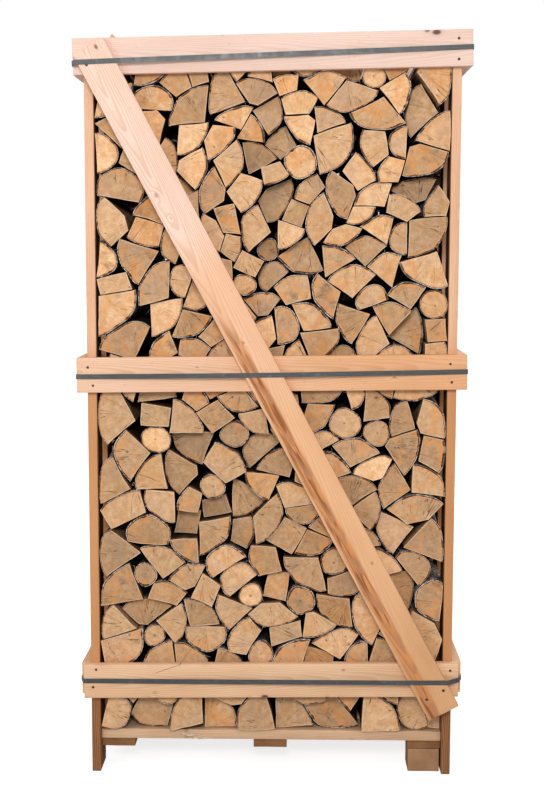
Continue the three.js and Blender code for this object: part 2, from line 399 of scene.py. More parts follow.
pine_post = pine_material(
    "pine_post", (244, 200, 168), (233, 184, 148), late_tan,
    knots=[(0.2, 0.01, 0.005, 0.5), (-0.6, -0.02, 0.006, 0.5)],
    fades=[(0.28, 0.02, (211, 153, 103), (200, 139, 90)),
           (-0.72, -0.8, (134, 86, 50), (112, 70, 38))],
    # painted shade on the faces of the posts and slats towards the logs
    dusty_inside=(0.475, 0.243, 0.08),
)
pine_deck = pine_material(
    "pine_deck", (232, 194, 158), (214, 174, 138), (160, 116, 80),
    knots=[(-0.237, -0.045, 0.008, 0.6)],
)
pine_stringer = pine_material("pine_stringer", (156, 110, 72), (130, 88, 54), (98, 62, 36))
pine_block = pine_material("pine_block", (186, 144, 108), (164, 122, 86), (116, 78, 48))

LEVELS = {"top": pine_top, "middle": pine_middle, "bottom": pine_bottom}
SIDES = {"front": -1, "back": 1, "left": -1, "right": 1}  # which way each side's boards face
BASE = {"deck": pine_deck, "stringer": pine_stringer, "block": pine_block}
boards = [(f"{side}_rail_{level}", LEVELS[level], "crate_pine") for level in LEVELS for side in SIDES]
for end in ("front", "back"):
    boards.append((f"brace_{end}", pine_brace, "brace_pine"))
    boards += [(f"post_{end}_{side}", pine_post, "crate_pine") for side in ("left", "right")]
boards += [(f"side_slat_{side}", pine_post, "crate_pine") for side in ("left", "right")]
for name in sorted(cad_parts):
    if name.split("_")[0] in BASE:
        boards.append((name, BASE[name.split("_")[0]], "base_pine"))
seed = 1.0
for name, material, slot in boards:
    worn = (1.5, 2.0) if slot == "base_pine" else (1.0, 1.0)
    sawn_board(name, material, seed, slot, *worn)
    seed += 1.37


def torn_slivers():
    """Long slivers torn loose along the front deck board's front edge."""
    low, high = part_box("deck_board_front")
    rng = np.random.default_rng(3)
    verts, faces, steps = [], [], 8
    for x, z, length, fall, lift in (
        (-0.254, 0.7, 66, 1, 5), (-0.248, 0.55, 52, 3, 3), (-0.236, 0.4, 46, -5, 6),
        (-0.222, 0.05, 40, -12, 4), (-0.214, 0.25, 30, 9, 7),
    ):
        first = len(verts)
        for k in range(steps + 1):
            t = k / steps
            y = low[1] - (lift * math.sin(math.pi * min(1.0, 0.25 + t)) + 1.2) * MM
            up = low[2] + z * (high[2] - low[2]) - fall * t * MM + rng.normal(0, 0.2 * MM)
            wide = 1.5 * MM * (1.15 - t)
            for dy, dz in ((0, wide), (-wide, 0), (0, -wide)):
                verts.append((x + length * t * MM, y + dy, up + dz))
        last = len(verts) - 3
        faces += tube(first, 3, steps + 1, flip=True)
        faces += [(first + 2, first + 1, first), (last, last + 1, last + 2)]
    s = Shader("torn_pine", 0.75, 0.2)
    fibre = s.noise(s.attribute("position"), 400.0, 2.0)
    color = s.mix(fibre, rgb(250, 222, 190), rgb(255, 244, 226))
    piece = make_mesh("deck_slivers", verts, faces, [s.finish(color, None, fibre, 0.3, 0.4 * MM)])
    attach(piece, "root")


torn_slivers()

# ---- nails --------------------------------------------------------------------------------------


def nail_head(verts, faces, middle, along, across, outwards, rng):
    """A nail's head, driven flush, with a slightly ragged outline."""
    sides, radius = 12, rng.uniform(3.6, 4.8) * MM
    ragged = 1 + rng.normal(0, 0.08, sides)
    first = len(verts)
    for share, lift in ((1.0, -0.6), (0.92, 0.25), (0.5, 0.4)):
        for i in range(sides):
            angle = i * TURN / sides
            flat = along * math.cos(angle) + across * math.sin(angle)
            verts.append(middle + flat * radius * share * ragged[i] + outwards * lift * MM)
    hub = len(verts)
    verts.append(middle + outwards * 0.45 * MM)
    faces += tube(first, sides, 3, flip=True)
    faces += [face[::-1] for face in fan(range(hub - sides, hub), hub)]


def nail_boards():
    """Two nails where each rail crosses a post or a slat, and at both ends of the braces."""
    rng = np.random.default_rng(5)
    post_x = 0.4875
    places = []
    for level in LEVELS:
        for side, way in SIDES.items():
            crossings = (-post_x, post_x) if side in ("front", "back") else (-0.2, 0.0, 0.2)
            places += [(f"{side}_rail_{level}", x, way) for x in crossings]
    places += [(f"brace_{end}", x, SIDES[end]) for end in ("front", "back") for x in (-0.955, 0.965)]
    verts, faces = [], []
    for node, x, way in places:
        centre, half, (long, wide, thick) = board_frame(node)
        outwards = thick * way
        for up in (-1, 1):
            y = up * 24 * MM + rng.normal(0, 4 * MM)
            along = x + rng.normal(0, 5 * MM)
            middle = centre + long * along + wide * y + outwards * (half[2] - 0.3 * MM)
            nail_head(verts, faces, middle, long, np.cross(outwards, long), outwards, rng)
    s = Shader("nail_steel", 0.55, 0.4)
    rust = s.noise(s.attribute("position"), 260.0, 4.0, 0.7)
    color = s.paint(rgb(50, 38, 32), ((88, 56, 36), rust, 0.35, 0.65))
    piece = make_mesh("nails", verts, faces, [s.finish(color, None, rust, 0.4, 0.4 * MM)])
    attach(piece, "root")


nail_boards()

# ---- straps -------------------------------------------------------------------------------------


def crimped_seal(node, material):
    """The steel clip that holds a strap's ends: two notches pinch its edges together."""
    centre, half, axes = board_frame(node)
    section, _ = rounded_section(half[1], half[2], 0.5 * MM, 3 * MM)
    count, local = len(section), []
    stations = np.linspace(-1, 1, 33)
    for t in stations:
        pinch = sum(math.exp(-(((t - notch) / 0.13) ** 2)) for notch in (-0.45, 0.45))
        shrink = np.array([1 - 0.24 * pinch, 1 - 0.25 * pinch])
        end = 0.9 if abs(t) > 0.999 else 1.0
        local += [(t * half[0], y, z) for y, z in section * shrink * end]
    faces = tube(0, count, len(stations)) + [tuple(range(count))]
    faces.append(tuple(range(len(local) - 1, len(local) - 1 - count, -1)))
    if left_handed(axes):
        faces = [f[::-1] for f in faces]
    verts = centre + np.array(local) @ axes
    piece = make_mesh(node + "_crimped", verts, faces, [material], sharp=40)
    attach(piece, "root")
    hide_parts(node)


s = Shader("strap_band", 0.42, 0.5)
where = s.attribute("position")
streaks = s.noise(where, (30.0, 30.0, 900.0), 2.0)
rub = s.noise(where, 38.0, 4.0, 0.65)
color = s.paint(
    rgb(60, 62, 64), ((80, 83, 84), streaks, 0.3, 0.7), ((114, 117, 118), rub, 0.55, 0.75, 0.0, 0.5)
)
strap_band = s.finish(color, s.range(rub, 0.3, 0.7, 0.34, 0.52), streaks, 0.2, 0.4 * MM)
for name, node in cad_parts.items():
    if name.startswith("strap_seal_"):
        crimped_seal(name, strap_band)
    elif name.startswith("strap_"):
        node.data.materials.clear()
        node.data.materials.append(strap_band)
        edge = node.modifiers.new("edge", "BEVEL")
        edge.width = 0.25 * MM
        edge.segments = 2

# ---- firewood -----------------------------------------------------------------------------------

COLUMN = 2.5 * MM  # width of a column of the stack's skyline
HAND = 12  # columns: a log isn't pushed into a hollow narrower than this
LOST = 16  # columns: a hollow narrower than this is wasted room
GAP = 1.2 * MM  # left over each log
TOUCH = 4 * MM  # a log rests where it lies this near to the ones under it
REACH_X, REACH_Z = 0.065, 0.075  # how near a wanted log has to come to its place
KINDS = {  # share of the logs, and smallest and largest size
    "wedge": (0.52, 66 * MM, 104 * MM),
    "half": (0.13, 38 * MM, 58 * MM),
    "fan": (0.12, 72 * MM, 98 * MM),
    "core": (0.11, 52 * MM, 82 * MM),
    "round": (0.05, 23 * MM, 39 * MM),
    "chip": (0.07, 38 * MM, 58 * MM),
}


def rotation(angle):
    return np.array([[math.cos(angle), -math.sin(angle)], [math.sin(angle), math.cos(angle)]])


def normals(points):
    """The outward directions at the points of a counterclockwise outline."""
    along = np.roll(points, -1, 0) - np.roll(points, 1, 0)
    return np.c_[along[:, 1], -along[:, 0]] / np.linalg.norm(along, axis=1)[:, None]


def rim_points(radius, start, stop, rng, rough=0.015):
    count = max(5, int(abs(stop - start) * radius / (8 * MM)))
    angle = np.linspace(start, stop, count)
    sway = np.sin(2 * angle + rng.uniform(0, TURN)) + 0.6 * np.sin(5 * angle + rng.uniform(0, TURN))
    reach = radius * (1 + rough * sway)
    return np.c_[reach * np.cos(angle), reach * np.sin(angle)]


def cleft(a, b, rng):
    """The points strictly between a and b on a split face, a little bowed."""
    a, b = np.array(a), np.array(b)
    length = np.hypot(*(b - a))
    count = max(1, int(length / (20 * MM)))
    t = np.linspace(0, 1, count + 2)[1:-1]
    near = min(3 * MM / length, 0.2)
    t = np.r_[near, t[(t > 1.5 * near) & (t < 1 - 1.5 * near)], 1 - near][:, None]
    side = np.array([a[1] - b[1], b[0] - a[0]])
    bow = rng.normal(0, 0.012)
    return a + (b - a) * t + side * (bow * 4 * t * (1 - t) + rng.normal(0, 0.003, t.shape))


def log_outline(kind, size, rng):
    """A log's end, counterclockwise: its points, which edges are bark, and the heart of its rings."""
    top = math.pi / 2
    heart = np.zeros(2)
    if kind == "round":
        points = rim_points(size, 0, TURN, rng, 0.012)[:-1]
        return points, np.ones(len(points), bool), rng.normal(0, 0.04, 2) * size
    if kind == "half":
        lift = rng.uniform(-0.35, 0.25) * size
        low = math.asin(lift / size)
        rim = rim_points(size, low, math.pi - low, rng)
        rest = cleft(rim[-1], rim[0], rng)
        heart = np.array([rng.normal(0, 0.05) * size, lift - rng.uniform(0, 0.06) * size])
    elif kind in ("wedge", "chip"):
        low, high = ((29, 38), (36, 46), (44, 54))[rng.integers(3)]
        half = math.radians(rng.uniform(low, high))
        rim = rim_points(size, top - half, top + half, rng)
        tip = np.array([rng.normal(0, 0.08), rng.normal(0.05, 0.06)]) * size
        if rng.random() < 0.2:
            cut = rng.uniform(0.18, 0.4)
            left = tip + (rim[-1] - tip) * cut
            right = tip + (rim[0] - tip) * cut * rng.uniform(0.7, 1.3)
            blunt = [left[None], right[None]]
        else:
            left = right = tip
            blunt = [tip[None]]
        rest = np.concatenate([cleft(rim[-1], left, rng), *blunt, cleft(right, rim[0], rng)])
    elif kind == "fan":
        half = math.radians(rng.uniform(26, 40))
        rim = rim_points(size, top - half, top + half, rng)
        depth, skew = rng.uniform(0.5, 0.75) * size, rng.uniform(-0.08, 0.08) * size
        left = np.array([rim[-1][0] * rng.uniform(0.55, 0.95) + skew, rim[-1][1] - depth])
        fall = depth * rng.uniform(0.85, 1.15)
        right = np.array([rim[0][0] * rng.uniform(0.55, 0.95) + skew, rim[0][1] - fall])
        faces = [cleft(rim[-1], left, rng), left[None], cleft(left, right, rng), right[None]]
        rest = np.concatenate([*faces, cleft(right, rim[0], rng)])
    else:
        wide, tall = size * rng.uniform(0.75, 1.15), size * rng.uniform(0.6, 0.95)
        corners = np.array([[-wide, -tall], [wide, -tall], [wide, tall], [-wide, tall]]) / 2
        corners = corners + rng.uniform(-0.11, 0.11, (4, 2)) * size
        sides = zip(corners, np.roll(corners, -1, 0))
        points = np.concatenate([part for a, b in sides for part in (a[None], cleft(a, b, rng))])
        angle = rng.uniform(0, TURN)
        heart = np.array([math.cos(angle), math.sin(angle)]) * size * rng.uniform(0.5, 1.1)
        return points, np.zeros(len(points), bool), heart
    points = np.concatenate([rim, rest])
    bark = np.arange(len(points)) < len(rim) - 1
    return points, bark, heart


def draw_log(rng, kind=None, size=None, turn=None):
    if kind is None:
        shares = np.array([share for share, _, _ in KINDS.values()])
        kind = list(KINDS)[rng.choice(len(KINDS), p=shares / shares.sum())]
        size = rng.uniform(*KINDS[kind][1:])
    points, bark, heart = log_outline(kind, size, rng)
    angle = rng.uniform(0, TURN) if turn is None else turn
    spin = rotation(angle)
    points, heart = points @ spin.T, spin @ heart
    corner = points.min(0)
    points, heart = points - corner, heart - corner
    after = np.roll(points, -1, 0)
    cross = points[:, 0] * after[:, 1] - after[:, 0] * points[:, 1]
    area = cross.sum() / 2
    columns = int(math.ceil(points[:, 0].max() / COLUMN)) + 1
    xs = np.clip(np.arange(columns) * COLUMN, 1e-6, points[:, 0].max() - 1e-6)
    low, high = np.full(columns, np.inf), np.full(columns, -np.inf)
    for (ax, az), (bx, bz) in zip(points, after):
        if abs(bx - ax) > 1e-9:
            over = (xs >= min(ax, bx)) & (xs <= max(ax, bx))
            z = az + (bz - az) * (xs - ax) / (bx - ax)
            low = np.where(over, np.minimum(low, z), low)
            high = np.where(over, np.maximum(high, z), high)
    centre = ((points + after) * cross[:, None]).sum(0) / (6 * area)
    return {
        "kind": kind, "points": points, "bark": bark, "heart": heart, "area": area,
        "low": low, "high": high, "centre": centre,
    }


def slide_max(values, count):
    edges = [(0, 0)] * (values.ndim - 1) + [(count // 2, count - 1 - count // 2)]
    padded = np.pad(values, edges, mode="edge")
    return np.lib.stride_tricks.sliding_window_view(padded, count, axis=-1).max(-1)


def closed(sky, count):
    """A skyline with every valley narrower than this many columns filled. Walls stand at its ends."""
    wall = np.full(sky.shape[:-1] + (count,), 9.0)
    walled = np.concatenate([wall, sky, wall], -1)
    return -slide_max(-slide_max(walled, count), count)[..., count:-count]


def stack_row(rng, width, bottom, level, limit, given, pool_size=260):
    """Stacks logs as a hand does: each goes in the lowest hollow, and is the one of the pile, in the
    turn and place, that wastes the least room. given lists the (x, z, kind, size) of logs that are
    wanted near those places. Each log gets at, the x and z of its lowest left corner. Returns
    the logs, and the skyline on top of them."""
    sky = np.full(int(width / COLUMN), bottom)
    pile = [draw_log(rng) for _ in range(pool_size)]
    given, placed, used = list(given), [], {kind: 0 for kind in KINDS}
    while True:
        level_sky = closed(sky, HAND)
        if level_sky.min() > level:
            return placed, sky
        lowest = np.flatnonzero(level_sky < level_sky.min() + 2 * MM)
        x = int(lowest[len(lowest) // 2])
        tests, wanted = pile, None
        for item in given:
            near_x, near_z, kind, size = item
            if abs(near_x - x * COLUMN) < REACH_X and sky[x] > near_z - REACH_Z:
                wanted = item
                sizes = size * rng.uniform(0.97, 1.03, 8)
                tests = [draw_log(rng, kind, v, rng.normal(0, 0.12)) for v in sizes]
                break
        tries = []
        for i, log in enumerate(tests):
            n = len(log["low"])
            first = min(max(0, x - n + 3), len(sky) - n)
            starts = np.arange(first, max(first, min(len(sky) - n, x - 2)) + 1, 2)
            under = sky[starts[:, None] + np.arange(n)]
            z = (under - log["low"]).max(1)
            lift = z[:, None] + log["low"] - under
            rests = lift < TOUCH
            middle = max(int(log["centre"][0] / COLUMN), 1)
            firm = rests[:, :middle].any(1) & rests[:, middle:].any(1)
            top = z + log["high"].max()
            share = used[log["kind"]] / max(len(placed), 12) / KINDS[log["kind"]][0]
            cost = lift.sum(1) * COLUMN / log["area"] + 0.2 * ~firm + 0.06 * max(share - 1, -0.5)
            cost = cost + 5.0 * np.maximum(top - sky.min() - 0.16, 0) + 50.0 * (top > limit)
            tries += [(cost[k], i, starts[k], z[k]) for k in np.argsort(cost)[:2]]
        tries = sorted(tries, key=lambda t: t[0])[:40]
        if tries[0][0] > 40:  # nothing fits under the limit here
            sky = np.where(np.abs(np.arange(len(sky)) - x) < 8, np.maximum(sky, limit), sky)
            continue
        skies = np.repeat(sky[None], len(tries), 0)
        for row, (_, i, start, z) in zip(skies, tries):
            n = len(tests[i]["low"])
            row[start:start + n] = np.maximum(row[start:start + n], z + tests[i]["high"] + GAP)
        lost = (closed(skies, LOST) - skies).sum(-1) * COLUMN
        rugged = np.abs(np.diff(skies, axis=1)).sum(1)
        areas = np.array([tests[t[1]]["area"] for t in tries])
        total = [t[0] for t in tries] + 1.5 * lost / areas - 16.0 * areas + 0.15 * rugged
        best = int(np.argmin(total))
        _, i, start, z = tries[best]
        log = tests[i]
        log["at"] = np.array([start * COLUMN, z])
        placed.append(log)
        used[log["kind"]] += 1
        sky = skies[best]
        if wanted:
            given.remove(wanted)
        else:
            pile[i] = draw_log(rng)


def cells_inside(points, cell):
    """The grid cells whose middles lie inside an outline."""
    low = np.floor(points.min(0) / cell).astype(int)
    high = np.ceil(points.max(0) / cell).astype(int)
    gx, gz = np.meshgrid(np.arange(low[0], high[0] + 1), np.arange(low[1], high[1] + 1), indexing="ij")
    x, z = (gx.ravel() + 0.5) * cell, (gz.ravel() + 0.5) * cell
    a, b = points, np.roll(points, -1, 0)
    crosses = (a[:, 1, None] > z) != (b[:, 1, None] > z)
    rise = np.where(np.abs(b[:, 1] - a[:, 1]) < 1e-12, 1e-12, b[:, 1] - a[:, 1])
    at = a[:, 0, None] + (z - a[:, 1, None]) * ((b[:, 0] - a[:, 0]) / rise)[:, None]
    inside = (crosses & (x < at)).sum(0) % 2 == 1
    return gx.ravel()[inside], gz.ravel()[inside]


def swell(logs, rng, width, floor, limit, cell=1.6 * MM):
    """Nudges the logs and fills them out where there is room, so that they bed in to each other."""
    owner = np.full((int(width / cell) + 4, int(limit / cell) + 4), -1)
    for i, log in enumerate(logs):
        for key in ("points", "heart", "centre"):
            log[key] = log[key] + log["at"]
        log["grown"] = 1.0
        log["cells"] = cells_inside(log["points"], cell)
        owner[log["cells"]] = i

    def settle(i, points, cells):
        owner[logs[i]["cells"]] = -1
        owner[cells] = i
        logs[i]["cells"], logs[i]["points"] = cells, points

    def fits(i, points, centre):
        """Puts a log's outline there if there is room."""
        low, high = points.min(0), points.max(0)
        wall = 0.5 * MM
        if low[0] < wall or high[0] > width - wall or high[1] > limit or low[1] < floor - 0.1 * MM:
            return False
        cells = cells_inside(centre + (points - centre) * 1.018, cell)
        there = owner[cells]
        if not np.all((there == -1) | (there == i)):
            return False
        settle(i, points, cells)
        return True

    for i in rng.permutation(len(logs)):  # the outer logs stand against the walls
        log = logs[i]
        for room in (-log["points"][:, 0].min(), width - log["points"][:, 0].max()):
            if abs(room) > 45 * MM:
                continue
            for part in (1.0, 0.7, 0.4, 0.2):
                move = np.array([(room - 0.7 * MM * np.sign(room)) * part, 0.0])
                if abs(room) > MM and fits(i, log["points"] + move, log["centre"] + move):
                    log["centre"], log["heart"] = log["centre"] + move, log["heart"] + move
                    break

    for reach in (0.0, 0.08, 0.05, 0.03, 0.02):
        for i in rng.permutation(len(logs)):
            log = logs[i]
            for _ in range(2):
                angle, move = rng.normal(0, 0.02), rng.normal(0, 1.2 * MM, 2)
                spin = rotation(angle)
                centre = log["centre"] + move
                if fits(i, centre + (log["points"] - log["centre"]) @ spin.T, centre):
                    log["heart"] = centre + spin @ (log["heart"] - log["centre"])
                    log["centre"] = centre
            if not reach:
                continue
            first = rng.uniform(0, TURN)
            for way in first + np.arange(7) * TURN / 7:  # one side at a time
                if log["grown"] > 1.9:
                    break
                axis = np.array([math.cos(way), math.sin(way)])
                ahead = np.maximum((log["points"] - log["centre"]) @ axis, 0)
                if fits(i, log["points"] + np.outer(ahead * reach, axis), log["centre"]):
                    log["grown"] *= 1 + reach

    steps = np.arange(1, 13) * 0.9 * MM
    for _ in range(3):  # last, the outlines swell into the hollows that are left
        for i in rng.permutation(len(logs)):
            log = logs[i]
            points = log["points"]
            normal = normals(points)
            probes = points[:, None] + normal[:, None] * steps[None, :, None]
            at = np.clip(np.floor(probes / cell).astype(int), 0, np.array(owner.shape) - 1)
            taken = owner[at[..., 0], at[..., 1]]
            walls = (probes[..., 0] < MM) | (probes[..., 0] > width - MM)
            walls |= (probes[..., 1] < floor + MM) | (probes[..., 1] > limit)
            blocked = ((taken != -1) & (taken != i)) | walls
            room = np.where(blocked.any(1), blocked.argmax(1), len(steps)) * steps[0]
            push = np.clip(room - 2.6 * MM, 0, 4 * MM)
            push = np.minimum(push, np.minimum(np.roll(push, 1), np.roll(push, -1)) + 1 * MM)
            for _ in range(2):
                push = 0.5 * push + 0.25 * (np.roll(push, 1) + np.roll(push, -1))
            push = push * np.where(log["bark"] | np.roll(log["bark"], 1), 0.45, 0.12)
            points = points + normal * push[:, None]
            settle(i, points, cells_inside(points, cell))


class LogMesh:
    """The vertices, faces and vertex values of a group of logs."""

    def __init__(self):
        self.verts, self.faces, self.slots = [], [], []
        self.values = {"grain": [], "tone": [], "rim": []}

    def add(self, log, outer, inner, index, shade, bulge, rng):
        """Adds a log from its outer sawn end, at y = outer, to its inner end. shade is how dark the
        painted shade on its sides grows away from its end, where it lies among other logs, and bulge how
        much thicker its hidden end is."""
        centre, heart, bark, count = log["centre"], log["heart"], log["bark"], len(log["points"])
        sign = 1 if inner > outer else -1
        at_bark = bark | np.roll(bark, 1)
        normal = normals(log["points"])
        reach = log["points"] - normal * 0.7 * MM - centre
        height = np.maximum((reach * normal).sum(1), 6 * MM)
        lean, saw = rng.normal(0, 0.005, 2), rng.normal(0, 0.02, 2)
        tone = rng.normal(0, 1, 3)
        # painted shade: the logs low in the stack are darker, standing in for the light falling off
        # downward
        tone[0] -= float(np.interp(centre[1], (0.9, 1.4), (0.9, 0.0)))  # duller low in the stack
        shift = index * 2.3

        def vertex(x, y, z, rim, dish=0.0):
            """dish is how far the vertex lies behind its ring's y."""
            way = y - outer
            x, y, z = x + lean[0] * way, y + dish, z + lean[1] * way
            way = y - outer
            grain = (x - heart[0] - lean[0] * way, y + shift, z - heart[1] - lean[1] * way)
            self.verts.append((x, y, z))
            for key, value in zip(self.values, (grain, tuple(tone), rim)):
                self.values[key].append(value)
            return len(self.verts) - 1

        def hub(y):
            return vertex(centre[0], y, centre[1], (1.0, 1.0, 0.0))

        def inset(depth):
            return np.minimum(0.42, depth / height)

        def ring(y, share, edge, relief=0.0, sawn=True):
            """A ring of vertices, moved in by a share of its reach. edge is how far it lies from the
            sawn end's edge, and relief how deep its bark and fibres are."""
            start = len(self.verts)
            for i, (x, z) in enumerate(centre + reach * (1 - share)[:, None]):
                if relief:
                    q = Vector((x * 55, y * 28 + shift, z * 55))
                    rough = noise.noise(q) + 0.5 * noise.noise(q * 2.7)
                    cut = relief * max(0.0, 0.5 + rough) * (1.0 if at_bark[i] else 0.5)
                    x, z = x - normal[i][0] * cut, z - normal[i][1] * cut
                slope = (x - centre[0]) * saw[0] + (z - centre[1]) * saw[1]
                dish = max(0.0, 1.5 * MM + slope) * sign if sawn else 0.0
                # the third rim value is the painted shade on the sides: none at the end, all of shade 30
                # mm in
                deep = shade * min(1.0, abs(y - outer) / (30 * MM))
                vertex(x, y, z, (edge if at_bark[i] else 1.0, edge, deep), dish)
            return range(start, start + count)

        def close(faces, slots):
            self.faces += [face[::sign] for face in faces]
            self.slots += slots

        end, sides = [0] * count, [2 if b else 1 for b in bark]
        middle = hub(outer + 1.5 * MM * sign)
        last = ring(outer, np.full(count, 0.5), 1.0)
        close([face[::-1] for face in fan(last, middle)], end)
        for depth in (10 * MM, 4.5 * MM, 0.5 * MM):
            following = ring(outer, inset(depth), depth / (10 * MM))
            close(quads(last, following), end)
            last = following
        length = abs(inner - outer)
        for share in (0.004, 0.05, 0.13, 0.28, 0.5, 0.75, 0.995):
            relief = 0.3 * MM if share < 0.01 else 2.0 * MM
            thicker = bulge * max(0.0, 2 * share - 1)
            y = outer + share * length * sign
            following = ring(y, -inset(thicker), 0.0, relief, sawn=share < 0.01)
            close(quads(last, following), sides)
            last = following
        following = ring(inner, inset(0.5 * MM), 0.05, sawn=False)
        close(quads(last, following), sides)
        close(fan(following, hub(inner)), end)

    def build(self, name, materials):
        piece = make_mesh(name, self.verts, self.faces, materials, self.slots, sharp=40)
        for key, values in self.values.items():
            write_attribute(piece, key, values)
        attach(piece, "root")
        return piece


class BarkCurls:
    """Thin strips of papery bark that curl off the logs, just behind their ends."""

    def __init__(self):
        self.verts, self.faces = [], []

    def add(self, log, outer, sign, rng):
        rims = np.flatnonzero(log["bark"] & np.roll(log["bark"], 1))
        if not len(rims):
            return
        i = rims[rng.integers(len(rims))]
        points = log["points"]
        along = points[(i + 1) % len(points)] - points[i - 1]
        along = along / np.linalg.norm(along) * rng.choice((-1, 1))
        outwards = points[i] - log["centre"]
        outwards = outwards / np.linalg.norm(outwards)
        length, wide = rng.uniform(7, 20) * MM, rng.uniform(2, 5) * MM
        radius, near = rng.uniform(3.5, 9) * MM, outer + sign * rng.uniform(1.5, 5) * MM
        steps, skew = 8, rng.normal(0, 0.2)
        loops = []
        for k in range(steps + 1):
            loops.append([len(self.verts) + corner for corner in (0, 1, 3, 2)])
            turn = k / steps * length / radius
            for lift in (0.0, 0.35 * MM):
                bow = radius - (radius - lift) * math.cos(turn)
                x, z = points[i] + outwards * bow + along * (radius - lift) * math.sin(turn)
                slide = skew * k / steps * wide
                self.verts.append((x, near + slide * sign, z))
                self.verts.append((x, near + (slide + wide * (1 - 0.5 * k / steps)) * sign, z))
        for before, after in zip(loops, loops[1:]):
            self.faces += quads(before, after, flip=True)
        self.faces += [loops[0][::-1], loops[-1]]

    def build(self, name):
        s = Shader("bark_paper", 0.65, 0.2)
        fleck = s.noise(s.attribute("position"), 300.0, 4.0, 0.7)
        color = s.paint(rgb(150, 116, 92), ((238, 228, 216), fleck, 0.35, 0.62))
        bark = s.finish(color, None, fleck, 0.4, 0.5 * MM)
        piece = make_mesh(name, self.verts, self.faces, [bark])
        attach(piece, "root")


# ---- birch --------------------------------------------------------------------------------------


def birch_tone(s, color):
    """Each log is a little lighter or darker, and warmer or greyer, than its neighbours."""
    # the lightness also carries the painted shade that darkens the logs low in the stack
    light, warm, _ = s.split(s.attribute("tone"))
    darker = s.mix(1.0, color, (0.66, 0.64, 0.62), "MULTIPLY")
    lighter = s.mix(1.0, color, (1.24, 1.22, 1.20), "MULTIPLY")
    color = s.mix(s.range(light, -1.9, 1.9, kind="LINEAR"), darker, lighter)
    color = s.mix(s.range(warm, 0.9, 2.2, 0.0, 0.6), color, (1.12, 0.90, 0.66), "MULTIPLY")
    return s.mix(s.range(warm, -0.9, -2.2, 0.0, 0.6), color, (0.90, 0.90, 0.98), "MULTIPLY")


def birch_end():
    """A sawn end: flat and matt, with faint rings and rays, thin drying cracks and a rim of bark."""
    s = Shader("birch_end", 0.85, 0.12)
    x, y, z = s.split(s.attribute("grain"))
    light, _, dirty = s.split(s.attribute("tone"))
    flat = s.join(x, s.times(y, 0.02), z)
    slow_y = s.times(y, 3.0)
    away = s.vector("LENGTH", s.join(x, 0.0, z))
    radius = s.plus(away, s.scaled(s.noise(flat, 16.0, 2.0), 0.012, -0.006))
    angle = s.math("ARCTAN2", z, x)

    def around(turns, deep, detail):
        """Noise that runs out from the heart, and changes with every log."""
        return s.noise(s.join(s.times(angle, turns), slow_y, deep), 1.0, detail)

    cloud = s.noise(flat, 60.0, 6.0, 0.75)
    patch = s.noise(flat, 13.0, 2.0)
    color = s.paint(
        rgb(240, 199, 156),
        ((208, 164, 120), cloud, 0.32, 0.68),
        ((228, 174, 118), patch, 0.5, 0.72, 0.0, 0.5),
        ((208, 172, 146), patch, 0.48, 0.3, 0.0, 0.5),
    )
    ring = s.rings(radius, 420.0, 0.35, 0.9, 0.92)
    color = s.mix(s.times(ring, 0.14), color, rgb(172, 122, 80))
    rays = around(40.0, s.times(radius, 22.0), 3.0)
    color = s.paint(
        color,
        ((160, 114, 76), rays, 0.52, 0.78, 0.0, 0.38),
        ((250, 222, 188), rays, 0.22, 0.45, 0.3, 0.0),
    )

    # drying cracks run out from the heart
    split_at = around(7.0, s.times(radius, 9.0), 1.0)
    near = s.math("ABSOLUTE", s.math("SUBTRACT", split_at, 0.5))
    width = s.range(radius, 0.0, 0.06, 0.005, 0.018, "LINEAR")
    some = s.noise(s.join(s.times(angle, 2.4), s.plus(slow_y, 7.0), 0.0), 1.0, 0.0)
    crack = s.times(s.fall(near, 0.0, width), s.range(some, 0.51, 0.57))
    color = s.mix(s.times(crack, 0.85), color, rgb(70, 42, 26))

    # brown stain, dust and specks
    stain = s.noise(flat, 24.0, 5.0, 0.7, 0.6)
    amount = s.times(s.range(stain, 0.5, 0.7), s.range(dirty, -0.4, 2.0, 0.08, 0.7))
    color = s.mix(amount, color, rgb(140, 104, 78))
    color = s.paint(
        color,
        ((104, 70, 48), s.noise(flat, 300.0, 2.0, 0.5), 0.66, 0.75, 0.0, 0.6),
        ((130, 84, 52), radius, 0.0015, 0.004, 0.6, 0.0),
    )
    color = birch_tone(s, color)

    # pale torn fibres along the split edges
    rim, edge, _ = s.split(s.attribute("rim"))
    torn = s.noise(flat, 150.0, 3.0, 0.6)
    frayed = s.plus(edge, s.scaled(torn, 0.3, -0.15))
    color = s.paint(color, ((244, 216, 186), frayed, 0.1, 0.3, 0.6, 0.0))

    # towards the bark: orange sapwood stain, dark inner bark, pale outer bark, thicker in places
    uneven = s.noise(s.vector("ADD", flat, s.join(dirty, light, 0.0)), 26.0, 3.0, 0.6)
    thin = s.plus(s.range(uneven, 0.35, 0.65, 1.7, 0.75), s.range(dirty, -1.2, 1.4, 0.5, -0.1))
    rim = s.times(s.plus(rim, s.scaled(torn, 0.2, -0.1)), thin)
    paper = s.paint(
        rgb(118, 92, 74),
        ((240, 230, 220), torn, 0.36, 0.56),
        ((66, 42, 28), uneven, 0.48, 0.6, 0.0, 0.85),
    )
    color = s.paint(
        color, ((226, 154, 88), rim, 0.5, 1.4, 0.6, 0.0), ((66, 34, 18), rim, 0.42, 0.54, 1.0, 0.0)
    )
    color = s.mix(s.fall(rim, 0.22, 0.32), color, paper)
    saw = s.noise(flat, (40.0, 1.0, 420.0), 2.0)
    height = s.scaled(ring, 0.25, s.scaled(rays, 0.6, s.times(saw, 0.4)))
    height = s.math("SUBTRACT", height, s.times(crack, 2.0))
    return s.finish(color, s.range(cloud, 0.3, 0.7, 0.78, 0.92), height, 0.5, 0.8 * MM)


def painted_gap_shade(s, color):
    """Painted shade: darkens the sides that lie deep among other logs, where the shadow between them
    falls.
    """
    _, _, deep = s.split(s.attribute("rim"))
    return s.mix(deep, color, (0.13, 0.10, 0.08), "MULTIPLY")


